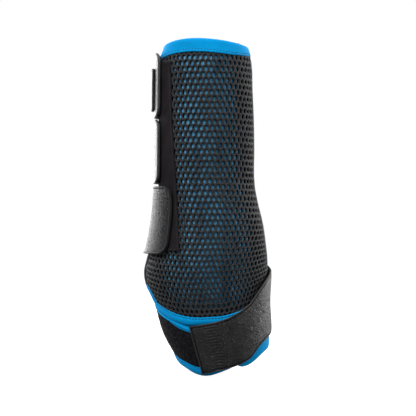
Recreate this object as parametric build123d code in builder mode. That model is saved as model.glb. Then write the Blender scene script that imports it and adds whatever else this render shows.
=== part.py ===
"""Tendon boot for a horse's lower leg, closed as it sits on the leg.

+Z is up the leg, +X is the front of the leg and -Y its outer side.
The origin is where the leg's axis meets the plane of the boot's lowest edge.
Every soft layer follows one of three lofted forms: the cannon sleeve, the pastern cup
under the fetlock, and the sling strap that wraps both. A layer is the space between a
form grown by one amount and the same form grown by another, kept inside an outline.
"""

from build123d import *

import os
from functools import lru_cache

# Sections of the forms: height, back, front, half width, in millimetres
SLEEVE_FORM = (
    (345, -46.0, 42.0, 34.5),
    (312, -46.5, 44.0, 35.5),
    (270, -47.0, 46.2, 36.0),
    (225, -47.2, 47.0, 36.0),
    (188, -47.6, 47.6, 36.5),
    (168, -48.4, 51.0, 38.0),
    (148, -50.8, 55.8, 40.5),
    (128, -54.6, 58.6, 43.0),
    (112, -59.5, 60.4, 44.6),
    (100, -62.0, 60.4, 45.0),
    (87, -60.0, 59.2, 44.4),
    (74, -54.8, 58.4, 43.2),
    (60, -49.0, 57.8, 42.0),
    (38, -45.0, 57.0, 40.5),
)
CUP_FORM = (
    (95, -58.0, 58.0, 43.0),
    (62, -49.6, 58.2, 41.4),
    (36, -41.8, 61.2, 39.0),
    (12, -29.0, 58.0, 35.4),
    (-8, -19.0, 50.0, 32.0),
)
STRAP_FORM = (
    (160, -58.0, 57.4, 43.6),
    (110, -63.0, 61.2, 47.6),
    (70, -56.0, 60.4, 45.4),
    (34, -44.0, 61.4, 41.8),
    (12, -34.0, 59.5, 38.8),
    (-8, -24.0, 51.0, 35.6),
)

# Depths of the layers, counted outwards from the form's own surface: (inner, outer)
MESH = (-2.4, 0.0)
FOAM = (-6.4, -2.5)
LINING = (-7.6, -6.5)
YOKE = (-9.8, -8.8)
CUP_COVER = (-1.5, 0.0)
CUP_PADDING = (-5.0, -1.6)
CUP_LINING = (-6.1, -5.1)
LOOP_STRIP = (0.1, 1.3)
ANCHOR_STRIP = (0.1, 2.9)
TAB_HOOK = (1.7, 2.9)
TAB_PADDING = (3.0, 5.0)
TAB_FACE = (5.1, 6.3)
TAB_PIPING = (3.0, 6.5)
BADGE = (6.4, 8.8)
STRAP_HOOK = (0.0, 0.8)
STRAP_BACKING = (0.9, 1.9)
STRAP_FACE = (2.0, 3.0)

# Edges seen from the side, as (x, z)
TOP_EDGE = [(-75, 328), (-30, 328), (5, 327.6), (22, 326), (34, 324.4), (44, 322.8), (75, 316)]
HEM = [(-75, 112), (-64, 92), (-57, 80.5), (-49, 65), (-40, 58), (-27, 52.5), (-14, 50.3),
       (2, 51.4), (20, 55.5), (42, 65), (60, 79), (75, 92)]
CUP_TOP_OUTER = [(-75, 111), (-64, 91), (-57, 79.5), (-49, 64), (-40, 57), (-30, 52.4),
                 (-20, 48.6), (-5, 45), (12, 43.6), (75, 43.6)]
CUP_BOTTOM = [(-75, 62), (-50, 33), (-36, 20), (-26.5, 9), (-19, 5), (-11.6, 1.3), (-4, 0),
              (4, 1), (11.6, 3.6), (23, 7.9), (75, 28)]
CUP_FRONT_BOTTOM = [(0, 0.5), (12, 3.8), (22, 7.4), (30, 9), (38, 9.2), (46, 13.4), (54, 20),
                    (61, 24.5), (75, 30)]
STRAP_OUTER_TOP = [(-30, 47.8), (-16.6, 49.4), (-1, 52), (11.5, 54.9), (23, 59.3), (36, 67.5), (60, 90)]
STRAP_OUTER_BOTTOM = [(-30, -2), (-3.9, 1.9), (10.5, 5.8), (23, 9.2), (33, 12.8), (60, 31)]
STRAP_INNER_TOP = [(15, 134.5), (30, 127.2), (45, 117.5), (60, 107)]
STRAP_INNER_BOTTOM = [(15, 86), (30, 77.5), (45, 68.5), (60, 59)]

# The strap's edges seen from the front, as (y, z)
STRAP_FRONT_TOP = [(-60, 53), (-36.7, 75.4), (-26.3, 86.5), (0, 98.5), (20, 107.5), (36, 117.5), (60, 131)]
STRAP_FRONT_BOTTOM = [(-60, 6), (-34.4, 20.6), (-23.8, 31), (0, 42.5), (20, 55.5), (36, 68.5), (60, 86)]
STRAP_END = ((-18.6, 57.0), (-1.9, -6.0))  # the free end's slanting edge
LOOP_STRIP_EDGE = [(-44, 318), (-38.6, 290), (-34.8, 249), (-31.9, 220), (-29.5, 181), (-26, 124)]

# Where pieces part and fold
SLIT_GAP = 1.6  # half of the gap between the two closing edges, at the back
HINGE_GAP = 0.15  # half of the gap at a fold
FLAP_HINGE_X = 8.0  # the inner side folds open here
CUP_SPLIT_X = 28.0  # the cup's two parts meet here, under the strap
CUP_SPLIT_GAP = 0.75
TAB_HINGE_X = -34.0
STRAP_HINGE_X = 42.0
STRAP_ANCHOR_X = 24.0
STRAP_FRONT_X = 45.0  # the strap's edges follow the front view beyond this
ANCHOR_STRIP_X = -22.0

# Edge tapes
TAPE = 0.9  # how far a tape stands out past what it covers
FIT = 0.1  # clearance between sewn layers
TAPE_FOLD = 1.4  # thickness of a tape around an edge
TOP_TAPE_WIDTH = 12.5
HEM_TAPE_WIDTH = 6.0
SLIT_TAPE_WIDTH = 5.0
TAPE_WIDTHS = (TOP_TAPE_WIDTH, HEM_TAPE_WIDTH, SLIT_TAPE_WIDTH)
CUP_TOP_TAPE_WIDTH = 5.0
CUP_TAPE_WIDTH = 8.0
CUP_FRONT_TAPE_WIDTH = 13.0
SLIT_CORNER = 26.0  # rounding of the sleeve's top corners beside the slit
CUP_GAP = 1.0  # between the sleeve's hem and the cup's top
YOKE_REACH = 10.0  # how far the yoke laps each side of the hem

# Closing tabs: name, bottom, top, where the free end reaches on the outer side
TABS = (
    ("upper_tab", 253.0, 317.5, -18.0),
    ("middle_tab", 187.5, 251.5, -18.0),
    ("lower_tab", 118.5, 185.0, -32.0),
)
TAB_CORNER = 10.0
TAB_RIM = 2.2
TAB_HOOK_MARGIN = 4.0
STRIP_BOTTOM = 121.0
STRIP_TOP = 307.0
BADGE_Y = (-9.0, 27.0)
BADGE_Z = (260.0, 302.3)
BADGE_CORNER = 3.0
STRAP_HOOK_END = 20.0
STRAP_HOOK_MARGIN = 4.0
ANCHOR_LIFT = 1.5  # keeps the strap's sewn end clear of the hem tape

FAR = 100.0  # reach of the cutting solids, beyond the boot on every side
HIGH = 400.0
OUT = "parts"


def raised(outline, by):
    """An outline moved up."""
    return [(x, z + by) for x, z in outline]


@lru_cache(maxsize=None)
def form(sections, grow):
    """A lofted form, grown outwards."""
    with BuildPart() as body:
        for height, back, front, half_width in sections:
            with BuildSketch(Plane.XY.offset(height)):
                with Locations(((back + front) / 2, 0)):
                    Ellipse((front - back) / 2 + grow, half_width + grow)
        loft()
    return body.part


@lru_cache(maxsize=None)
def layer(sections, depths):
    """The space between a form grown by the two depths."""
    inner, outer = depths
    with BuildPart() as band:
        add(form(sections, outer))
        add(form(sections, inner), mode=Mode.SUBTRACT)
    return band.part


def block(x, y, z=(-FAR, HIGH)):
    """A box between the given limits."""
    with BuildPart() as box:
        with Locations(((x[0] + x[1]) / 2, (y[0] + y[1]) / 2, (z[0] + z[1]) / 2)):
            Box(x[1] - x[0], y[1] - y[0], z[1] - z[0])
    return box.part


def side_slab(floor, roof, y=(-FAR, FAR), x=(-FAR, FAR)):
    """What lies between two edges seen from the side, within limits of y and x."""
    with BuildPart() as slab:
        with BuildSketch(Plane.XZ.offset(-y[1])):
            with BuildLine():
                low = Spline(floor)
                high = Spline(roof)
                Line(low @ 0, high @ 0)
                Line(low @ 1, high @ 1)
            make_face()
        extrude(amount=y[1] - y[0])
        add(block(x, y), mode=Mode.INTERSECT)
    return slab.part


def front_slab(floor, roof, x):
    """What lies between two edges seen from the front, within limits of x."""
    with BuildPart() as slab:
        with BuildSketch(Plane.YZ.offset(x[0])):
            with BuildLine():
                low = Spline(floor)
                high = Spline(roof)
                Line(low @ 0, high @ 0)
                Line(low @ 1, high @ 1)
            make_face()
        extrude(amount=x[1] - x[0])
    return slab.part


def slit_corners(inset):
    """What the rounded top corners beside the slit leave out."""
    centre_y = SLIT_GAP + SLIT_CORNER
    with BuildPart() as corners:
        with BuildSketch(Plane.YZ):
            with Locations((0, HIGH - FAR)):
                Rectangle(2 * centre_y, 2 * (HIGH - FAR - TOP_EDGE[0][1] + SLIT_CORNER))
            centre_z = TOP_EDGE[0][1] - SLIT_CORNER
            with Locations((-centre_y, centre_z), (centre_y, centre_z)):
                Circle(SLIT_CORNER - inset, mode=Mode.SUBTRACT)
        extrude(amount=-FAR)
    return corners.part


@lru_cache(maxsize=None)
def front_outline(top, hem, slit):
    """The front panel's reach: the outer side and the front, as far as the inner fold."""
    with BuildPart() as region:
        add(side_slab(raised(HEM, hem), raised(TOP_EDGE, -top)))
        add(slit_corners(top), mode=Mode.SUBTRACT)
        fold = FLAP_HINGE_X + HINGE_GAP
        add(block((-FAR, fold), (-SLIT_GAP - slit, FAR)), mode=Mode.SUBTRACT)
    return region.part


@lru_cache(maxsize=None)
def flap_outline(top, hem, slit):
    """The inner flap's reach: from the inner fold to the slit at the back."""
    with BuildPart() as region:
        add(side_slab(raised(HEM, hem), raised(TOP_EDGE, -top)))
        add(slit_corners(top), mode=Mode.SUBTRACT)
        fold = FLAP_HINGE_X - HINGE_GAP
        add(block((-FAR, fold), (SLIT_GAP + slit, FAR)), mode=Mode.INTERSECT)
    return region.part


@lru_cache(maxsize=None)
def cup_rear_outline(top, bottom, end):
    """The cup's rear part: from the inner fold round the back to the outer side."""
    floor = raised(CUP_BOTTOM, bottom)
    outer_limit = CUP_SPLIT_X - CUP_SPLIT_GAP - end
    with BuildPart() as region:
        add(side_slab(floor, raised(CUP_TOP_OUTER, -top), y=(-FAR, 0), x=(-FAR, outer_limit)))
        inner_roof = raised(HEM, -CUP_GAP - top)
        add(side_slab(floor, inner_roof, y=(0, FAR), x=(-FAR, FLAP_HINGE_X - HINGE_GAP)))
    return region.part


@lru_cache(maxsize=None)
def cup_front_outline(top, bottom, end):
    """The cup's front part: from the outer side round the front to the inner fold."""
    roof = raised(HEM, -CUP_GAP - top)
    floor = raised(CUP_FRONT_BOTTOM, bottom)
    outer_limit = CUP_SPLIT_X + CUP_SPLIT_GAP + end
    with BuildPart() as region:
        add(side_slab(floor, roof, y=(-FAR, 0), x=(outer_limit, FAR)))
        add(side_slab(floor, roof, y=(0, FAR), x=(FLAP_HINGE_X + HINGE_GAP, FAR)))
    return region.part


def kept(solid, region):
    """The part of a solid inside a region."""
    with BuildPart() as piece:
        add(solid)
        add(region, mode=Mode.INTERSECT)
    return piece.part


def tape(sections, depths, outline, widths):
    """A tape folded over the edges of a panel, as wide on each edge as widths says."""
    inner, outer = depths
    with BuildPart() as folded:
        add(kept(layer(sections, (inner - TAPE, outer + TAPE)), outline(0, 0, 0)))
        add(outline(*widths), mode=Mode.SUBTRACT)
        covered = layer(sections, (inner - FIT, outer + FIT))
        add(kept(covered, outline(TAPE_FOLD, TAPE_FOLD, TAPE_FOLD)), mode=Mode.SUBTRACT)
    return folded.part


def tab_outline(bottom, top, end, inset):
    """A closing tab's reach: from its fold round the back, with a rounded free end."""
    with BuildPart() as region:
        with BuildSketch(Plane.YZ.offset(TAB_HINGE_X - HINGE_GAP)):
            with Locations(((end + inset + FAR) / 2, (bottom + top) / 2)):
                outline = Rectangle(FAR - end - inset, top - bottom - 2 * inset)
            free_corners = outline.vertices().group_by(Axis.Y)[0]
            fillet(free_corners, TAB_CORNER - inset)
        extrude(amount=-FAR)
    return region.part


def strap_outline(margin):
    """The sling strap's moving reach: from its fold round the front to the free end."""
    top_end, bottom_end = STRAP_END
    outer_edges = (raised(STRAP_OUTER_BOTTOM, margin), raised(STRAP_OUTER_TOP, -margin))
    front_edges = (raised(STRAP_FRONT_BOTTOM, margin), raised(STRAP_FRONT_TOP, -margin))
    inner_edges = (raised(STRAP_INNER_BOTTOM, margin), raised(STRAP_INNER_TOP, -margin))
    with BuildPart() as region:
        add(side_slab(*outer_edges, y=(-FAR, 0), x=(-FAR, STRAP_FRONT_X)))
        with BuildSketch(Plane.XZ.offset(-FAR)):
            with BuildLine():
                Polyline((-FAR, top_end[1]), (top_end[0] + margin, top_end[1]),
                         (bottom_end[0] + margin, bottom_end[1]), (-FAR, bottom_end[1]), close=True)
            make_face()
        extrude(amount=2 * FAR, mode=Mode.SUBTRACT)
        add(front_slab(*front_edges, x=(STRAP_FRONT_X, FAR)))
        add(side_slab(*inner_edges, y=(0, FAR), x=(STRAP_HINGE_X + HINGE_GAP, STRAP_FRONT_X)))
    return region.part


def save(part, name):
    part.label = name
    export_step(part, f"{OUT}/{name}.step")


os.makedirs(OUT, exist_ok=True)

FULL = (TAPE_FOLD + FIT,) * 3  # how far the panel layers stop short of the tape's fold

# Front panel and inner flap: each a lining, a foam core and an outer mesh, with taped edges
PANELS = (("front_panel", front_outline), ("inner_flap", flap_outline))
for panel_name, outline in PANELS:
    for layer_name, depths in (("lining", LINING), ("foam", FOAM), ("mesh", MESH)):
        with BuildPart() as panel_layer:
            add(layer(SLEEVE_FORM, depths))
            add(outline(*FULL), mode=Mode.INTERSECT)
        save(panel_layer.part, f"{panel_name}_{layer_name}")

    with BuildPart() as panel_binding:
        widths = TAPE_WIDTHS
        add(tape(SLEEVE_FORM, (LINING[0], MESH[1]), outline, widths))
    save(panel_binding.part, f"{panel_name}_binding")

# Pastern cup: a rear part on the inner flap and a front part on the front panel
CUPS = (
    ("cup_rear", cup_rear_outline, CUP_TAPE_WIDTH),
    ("cup_front", cup_front_outline, CUP_FRONT_TAPE_WIDTH),
)
for cup_name, outline, bottom_tape in CUPS:
    for layer_name, depths in (("lining", CUP_LINING), ("padding", CUP_PADDING), ("cover", CUP_COVER)):
        with BuildPart() as cup_layer:
            add(layer(CUP_FORM, depths))
            add(outline(*FULL), mode=Mode.INTERSECT)
        save(cup_layer.part, f"{cup_name}_{layer_name}")

    with BuildPart() as cup_binding:
        widths = (CUP_TOP_TAPE_WIDTH, bottom_tape, CUP_TOP_TAPE_WIDTH)
        add(tape(CUP_FORM, (CUP_LINING[0], CUP_COVER[1]), outline, widths))
    save(cup_binding.part, f"{cup_name}_binding")

# Yokes: bands inside the hem that join each part of the cup to its panel
YOKE_FLOOR = raised(HEM, -YOKE_REACH)
YOKE_ROOF = raised(HEM, YOKE_REACH)
with BuildPart() as front_yoke:
    add(layer(SLEEVE_FORM, YOKE))
    add(side_slab(YOKE_FLOOR, YOKE_ROOF), mode=Mode.INTERSECT)
    add(block((-FAR, FLAP_HINGE_X + HINGE_GAP), (0, FAR)), mode=Mode.SUBTRACT)
    add(block((-FAR, CUP_SPLIT_X + CUP_SPLIT_GAP), (-FAR, 0)), mode=Mode.SUBTRACT)
save(front_yoke.part, "cup_front_yoke")

with BuildPart() as rear_yoke:
    add(layer(SLEEVE_FORM, YOKE))
    add(side_slab(YOKE_FLOOR, YOKE_ROOF), mode=Mode.INTERSECT)
    add(block((-FAR, FLAP_HINGE_X - HINGE_GAP), (SLIT_GAP, FAR)), mode=Mode.INTERSECT)
save(rear_yoke.part, "cup_rear_yoke")

# Loop strip that the tabs' hook patches hold to, beside the slit on the front panel
with BuildPart() as loop_strip:
    add(layer(SLEEVE_FORM, LOOP_STRIP))
    add(front_outline(*(width + FIT for width in TAPE_WIDTHS)), mode=Mode.INTERSECT)
    with BuildSketch(Plane.XZ):
        with BuildLine():
            edge = Spline(LOOP_STRIP_EDGE)
            Polyline(edge @ 1, (edge @ 1 - (FAR, 0, 0)), (edge @ 0 - (FAR, 0, 0)), edge @ 0)
        make_face()
    extrude(amount=FAR, mode=Mode.INTERSECT)
    add(block((-FAR, 0), (-FAR, 0), (STRIP_BOTTOM, STRIP_TOP)), mode=Mode.INTERSECT)
save(loop_strip.part, "loop_strip")

# Anchor strip that the tabs are sewn to, on the inner flap
with BuildPart() as anchor_strip:
    add(layer(SLEEVE_FORM, ANCHOR_STRIP))
    strip_x = (TAB_HINGE_X + HINGE_GAP, ANCHOR_STRIP_X)
    add(block(strip_x, (SLIT_GAP, FAR), (TABS[2][1], TABS[0][2] - FIT)), mode=Mode.INTERSECT)
    add(flap_outline(*(width + FIT for width in TAPE_WIDTHS)), mode=Mode.INTERSECT)
save(anchor_strip.part, "tab_anchor_strip")

# Closing tabs: a face and a padding inside a piped rim, with a hook patch under the free end
for tab_name, bottom, top, end in TABS:
    reach = tab_outline(bottom, top, end, TAB_RIM + FIT)
    with BuildPart() as tab_face:
        add(layer(SLEEVE_FORM, TAB_FACE))
        add(reach, mode=Mode.INTERSECT)
    save(tab_face.part, f"{tab_name}_face")

    with BuildPart() as tab_padding:
        add(layer(SLEEVE_FORM, TAB_PADDING))
        add(reach, mode=Mode.INTERSECT)
    save(tab_padding.part, f"{tab_name}_padding")

    with BuildPart() as tab_piping:
        add(layer(SLEEVE_FORM, TAB_PIPING))
        add(tab_outline(bottom, top, end, 0), mode=Mode.INTERSECT)
        add(tab_outline(bottom, top, end, TAB_RIM), mode=Mode.SUBTRACT)
    save(tab_piping.part, f"{tab_name}_piping")

    with BuildPart() as tab_hook:
        add(layer(SLEEVE_FORM, TAB_HOOK))
        add(tab_outline(bottom, top, end, TAB_HOOK_MARGIN), mode=Mode.INTERSECT)
        add(block((-FAR, 0), (-FAR, 0)), mode=Mode.INTERSECT)
    save(tab_hook.part, f"{tab_name}_hook_patch")

# Plain moulded badge on the upper tab
with BuildPart() as badge:
    add(layer(SLEEVE_FORM, BADGE))
    with BuildSketch(Plane.YZ):
        with Locations((sum(BADGE_Y) / 2, sum(BADGE_Z) / 2)):
            RectangleRounded(BADGE_Y[1] - BADGE_Y[0], BADGE_Z[1] - BADGE_Z[0], BADGE_CORNER)
    extrude(amount=-FAR, mode=Mode.INTERSECT)
save(badge.part, "tab_badge")

# Sling strap: a face and a backing, with a hook patch under the free end
with BuildPart() as strap_face:
    add(layer(STRAP_FORM, STRAP_FACE))
    add(strap_outline(0), mode=Mode.INTERSECT)
save(strap_face.part, "strap_face")

with BuildPart() as strap_backing:
    add(layer(STRAP_FORM, STRAP_BACKING))
    add(strap_outline(0), mode=Mode.INTERSECT)
save(strap_backing.part, "strap_backing")

with BuildPart() as strap_hook:
    add(layer(STRAP_FORM, STRAP_HOOK))
    add(strap_outline(STRAP_HOOK_MARGIN), mode=Mode.INTERSECT)
    add(block((-FAR, STRAP_HOOK_END), (-FAR, 0)), mode=Mode.INTERSECT)
save(strap_hook.part, "strap_hook_patch")

# Sewn end of the strap, built up from the mesh to the strap's own height
with BuildPart() as strap_anchor:
    add(form(STRAP_FORM, STRAP_FACE[1]))
    add(form(SLEEVE_FORM, FIT), mode=Mode.SUBTRACT)
    anchor_x = (STRAP_ANCHOR_X, STRAP_HINGE_X - HINGE_GAP)
    anchor_bottom = raised(STRAP_INNER_BOTTOM, ANCHOR_LIFT)
    add(side_slab(anchor_bottom, STRAP_INNER_TOP, y=(0, FAR), x=anchor_x), mode=Mode.INTERSECT)
save(strap_anchor.part, "strap_anchor")
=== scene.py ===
"""Tendon boot: the looks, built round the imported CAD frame.

Every soft piece is laid on one of the same three lofted forms as in the CAD model: the sleeve, the
pastern cup and the sling strap. A point on a form is (u, z, t): u is the share of the way round,
from the slit at the back over the outer side, the front and the inner side; z is the height and
t the depth outwards from the form, both in millimetres. Blender's own units are metres.
"""

import math

import bmesh
import bpy
import numpy as np
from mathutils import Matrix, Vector


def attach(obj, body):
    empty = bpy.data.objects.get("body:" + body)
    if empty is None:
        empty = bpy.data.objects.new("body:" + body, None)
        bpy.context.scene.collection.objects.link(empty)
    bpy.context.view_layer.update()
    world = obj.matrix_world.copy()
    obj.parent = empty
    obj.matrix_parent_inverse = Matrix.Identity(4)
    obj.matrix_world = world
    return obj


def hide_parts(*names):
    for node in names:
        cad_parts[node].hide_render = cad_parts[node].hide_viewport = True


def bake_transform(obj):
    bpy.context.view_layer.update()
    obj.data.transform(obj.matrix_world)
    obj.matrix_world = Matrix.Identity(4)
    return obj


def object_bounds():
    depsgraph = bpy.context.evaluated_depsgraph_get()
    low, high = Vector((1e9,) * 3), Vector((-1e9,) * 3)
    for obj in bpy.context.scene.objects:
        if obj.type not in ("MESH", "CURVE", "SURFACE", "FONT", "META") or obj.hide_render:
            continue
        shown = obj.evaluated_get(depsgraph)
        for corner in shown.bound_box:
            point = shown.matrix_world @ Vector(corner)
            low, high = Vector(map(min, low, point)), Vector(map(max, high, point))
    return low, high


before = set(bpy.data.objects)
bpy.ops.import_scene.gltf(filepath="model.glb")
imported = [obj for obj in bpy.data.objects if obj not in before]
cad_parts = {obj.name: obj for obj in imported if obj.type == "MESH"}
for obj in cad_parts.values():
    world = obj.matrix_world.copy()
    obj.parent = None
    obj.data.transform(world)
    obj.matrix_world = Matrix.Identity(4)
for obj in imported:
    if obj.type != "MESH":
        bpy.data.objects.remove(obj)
CAD_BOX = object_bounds()
MM = 0.001
RNG = np.random.default_rng(7)

# ---------------------------------------------------------------- driving dimensions, in mm

# Sections of the forms: height, back, front, half width
SLEEVE_SECTIONS = (
    (345, -46.0, 42.0, 34.5), (312, -46.5, 44.0, 35.5), (270, -47.0, 46.2, 36.0),
    (225, -47.2, 47.0, 36.0), (188, -47.6, 47.6, 36.5), (168, -48.4, 51.0, 38.0),
    (148, -50.8, 55.8, 40.5), (128, -54.6, 58.6, 43.0), (112, -59.5, 60.4, 44.6),
    (100, -62.0, 60.4, 45.0), (87, -60.0, 59.2, 44.4), (74, -54.8, 58.4, 43.2),
    (60, -49.0, 57.8, 42.0), (38, -45.0, 57.0, 40.5),
)
CUP_SECTIONS = (
    (95, -58.0, 58.0, 43.0), (62, -49.6, 58.2, 41.4), (36, -41.8, 61.2, 39.0),
    (12, -29.0, 58.0, 35.4), (-8, -19.0, 50.0, 32.0),
)
STRAP_SECTIONS = (
    (160, -58.0, 57.4, 43.6), (110, -63.0, 61.2, 47.6), (70, -56.0, 60.4, 45.4),
    (34, -44.0, 61.4, 41.8), (12, -34.0, 59.5, 38.8), (-8, -24.0, 51.0, 35.6),
)

# Edges seen from the side, as (x, z), and the strap's from the front, as (y, z)
TOP_EDGE = [(-75, 321), (-46, 323.8), (-40, 326), (-30, 327.6), (5, 327.6), (22, 326), (34, 324.4),
            (44, 322.8), (75, 316)]
HEM = [(-75, 112), (-64, 92), (-57, 80.5), (-49, 65), (-40, 58), (-27, 52.5), (-14, 50.3),
       (2, 50.6), (20, 52.4), (42, 61), (60, 77), (75, 92)]
CUP_TOP_OUTER = [(-75, 111), (-64, 91), (-57, 79.5), (-49, 64), (-40, 57), (-30, 52.4),
                 (-20, 48.6), (-5, 45), (12, 43.6), (75, 43.6)]
CUP_BOTTOM = [(-75, 62), (-50, 33), (-36, 20), (-26.5, 9), (-19, 5), (-11.6, 1.3), (-4, 0),
              (4, 1), (11.6, 3.6), (23, 7.9), (75, 28)]
CUP_FRONT_BOTTOM = [(0, 0.5), (12, 3.8), (22, 7.4), (30, 9), (38, 9.2), (46, 13.4), (54, 20),
                    (61, 24.5), (75, 30)]
STRAP_OUTER = (  # lower edge, upper edge
    [(-30, -2), (-3.9, 1.9), (10.5, 5.8), (23, 9.2), (33, 12.8), (60, 31)],
    [(-30, 47.8), (-16.6, 49.4), (-1, 52), (11.5, 54.9), (23, 59.3), (36, 67.5), (60, 90)],
)
STRAP_FRONT = (
    [(-60, 6), (-34.4, 20.6), (-23.8, 31), (0, 42.5), (20, 55.5), (36, 68.5), (60, 86)],
    [(-60, 53), (-36.7, 73), (-30.2, 80), (-26.3, 84.6), (-22.8, 88.4), (-16.4, 93.6), (-8.3, 98.6),
     (0, 101.6), (8, 104), (20, 108.5), (36, 117.5), (60, 131)],
)
STRAP_INNER = (
    [(15, 86), (30, 77.5), (45, 68.5), (60, 59)],
    [(15, 134.5), (30, 127.2), (45, 117.5), (60, 107)],
)
# The loop strip's outer edge, as (z, x)
LOOP_STRIP_EDGE = [(124, -26.5), (181, -29.3), (220, -31.6), (256, -33.8), (304, -35), (318, -36)]

PANEL_GIRTH, PANEL_HEIGHT = 260, 270  # roughly, for spacing the meshes' points
SLIT_GAP = 1.6
SLIT_CORNER = 10.0
TOP_TAPE, SLIT_TAPE, HEM_TAPE = 12.5, 5.0, 7.5
BLACK_TAPE_TOP = 312  # the slit's tape is black below this height
CUP_TOP_TAPE, CUP_TAPE, CUP_FRONT_TAPE = 5.0, 8.0, 13.0
UNDER_TAPE = 1.6  # how far the layers inside a tape stop short of the edge
FOAM_DEPTH, LINING_DEPTH = (-2.5, -6.4), (-6.5, -7.7)  # outside, inside
CUP_PAD_DEPTH, CUP_LINING_DEPTH = (-1.6, -5.0), (-5.1, -6.1)
TAB_FACE_DEPTH, TAB_FILLING_DEPTH, TAB_HOOK_DEPTH = (5.35, 4.6), (4.55, 3.0), (2.95, 2.1)
LOOP_STRIP_ENDS = (122.0, 307.0)
ANCHOR_STRIP_ENDS = (119.0, 317.0)
CUP_GAP = 1.0
CUP_SPLIT_X = 28.0
SPLIT_X = 30.0  # on the inner side, where the pieces that fold begin
STRAP_FRONT_X = 45.0
STRAP_ANCHOR_X = 24.0
STRAP_LENGTH, STRAP_WIDTH = 176.0, 50
STRAP_SEAM = 2.0  # from the strap's edge to its stitching
STRAP_HIGHLIGHT_RIM = 1.15  # the width of the lighter band along its face's edge, a painted highlight
STRAP_HOOK_START, STRAP_ROOT_SEAM = 0.81, 0.09  # as shares of the strap's length
STRAP_END = ((-16.6, 49.5), (-3.9, 1.9))
TAB_ROOT_X = -23.0
TABS = (  # name, bottom, top, and where the end lies towards the outer side
    ("upper_tab", 253.0, 317.5, -18.0),
    ("middle_tab", 187.5, 251.5, -18.0),
    ("lower_tab", 118.5, 185.0, -32.0),
)
TAB_CORNER = 10.0
TAB_GIRTH = 36.0  # how much longer the way round is at the tabs' depth
LOWER_TAB_SLANT = 6.0  # how much farther its end reaches at the bottom
BADGE_EDGES = (260.0, 302.3, -9.0, 27.0)  # bottom, top, and y at its outer and its inner end
BADGE_CORNER = 3.0
NET_PITCH = 5.5  # across one hole of the net, round the leg
NET_CENTRE = 0.27  # where the net's middle column runs, as a share of the girth
NET_ROW = 5.75  # between rows of holes
NET_BEND = 150  # below this height the rows draw closer and follow the hem
NET_ROWS, NET_COLUMNS = (2, 57), (-30, 60)  # enough for the whole sleeve
STITCH = 3.1  # from one stitch to the next
STITCH_INSET = 0.8  # where the stitches run on the sleeve's tape, as a share of its width

# Blend zones: (start, end) in metres; put() unpacks them but blends nothing
FLAP_FOLD = ((0.014, 0.042, 0.1), (-0.0024, 0.0305, 0.1))
TAB_FOLD = ((-0.027, 0.040, 0.2), (-0.040, 0.031, 0.2))
STRAP_FOLD = ((0.038, 0.040, 0.1), (0.046, 0.028, 0.1))


# ---------------------------------------------------------------- curves and forms

def smooth(points):
    """A smooth curve through (x, y) points, flat beyond both ends."""
    xs, ys = np.array(sorted(points), float).T
    slopes = np.gradient(ys, xs)

    def curve(x):
        x = np.clip(x, xs[0], xs[-1])
        i = np.clip(np.searchsorted(xs, x) - 1, 0, len(xs) - 2)
        h = xs[i + 1] - xs[i]
        r = (x - xs[i]) / h
        near = ys[i] * (1 + 2 * r) * (1 - r) ** 2 + slopes[i] * h * r * (1 - r) ** 2
        return near + ys[i + 1] * r * r * (3 - 2 * r) + slopes[i + 1] * h * r * r * (r - 1)

    return curve


# The way round an ellipse of the boot's usual proportions: angle against share of the girth
PHI = np.linspace(math.pi, 3 * math.pi, 1441)
STEPS = np.hypot(1.3 * np.sin(PHI), np.cos(PHI))
SHARE = np.concatenate([[0], np.cumsum((STEPS[1:] + STEPS[:-1]) / 2)])
SHARE /= SHARE[-1]


def angle(u):
    whole = np.floor(u)
    return np.interp(u - whole, SHARE, PHI) + 2 * math.pi * whole


class Form:
    """A lofted form: an ellipse at every height."""

    def __init__(self, sections):
        self.back = smooth([(s[0], s[1]) for s in sections])
        self.front = smooth([(s[0], s[2]) for s in sections])
        self.half = smooth([(s[0], s[3]) for s in sections])

    def ellipse(self, z, t=0.0):
        back, front = self.back(z), self.front(z)
        return (back + front) / 2, (front - back) / 2 + t, self.half(z) + t

    def flat(self, u, z, t=0.0):
        """x and y in millimetres."""
        c, a, b = self.ellipse(z, t)
        phi = angle(u)
        return c + a * np.cos(phi), b * np.sin(phi)

    def at(self, u, z, t):
        """Points in metres."""
        u, z, t = np.broadcast_arrays(np.asarray(u, float), z, t)
        x, y = self.flat(u, z, t)
        return np.stack([x, y, z], axis=-1) * MM

    def girth(self, z):
        _, a, b = self.ellipse(z)
        return math.pi * (3 * (a + b) - np.sqrt((3 * a + b) * (a + 3 * b)))

    def share_at_x(self, x, z, inner=False, t=0.0):
        c, a, _ = self.ellipse(z, t)
        phi = np.arccos(np.clip((x - c) / a, -1, 1))
        return np.interp(2 * math.pi + (phi if inner else -phi), PHI, SHARE)

    def share_at_y(self, y, z, t=0.0):
        """For a point at the back on the outer side, where y is below 0."""
        _, _, b = self.ellipse(z, t)
        return np.interp(math.pi + np.arcsin(np.clip(-y / b, -1, 1)), PHI, SHARE)

    def height(self, u, outline):
        """Where a column meets an edge: outline gives z for an x and a y."""
        z = np.full(np.shape(u), 80.0)
        for _ in range(60):
            z = (z + outline(*self.flat(u, z))) / 2
        return z


SLEEVE, CUP, STRAP = Form(SLEEVE_SECTIONS), Form(CUP_SECTIONS), Form(STRAP_SECTIONS)
top_curve, hem_curve = smooth(TOP_EDGE), smooth(HEM)
cup_top_curve, cup_bottom_curve, cup_front_curve = map(
    smooth, (CUP_TOP_OUTER, CUP_BOTTOM, CUP_FRONT_BOTTOM))
strip_curve = smooth(LOOP_STRIP_EDGE)


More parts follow.
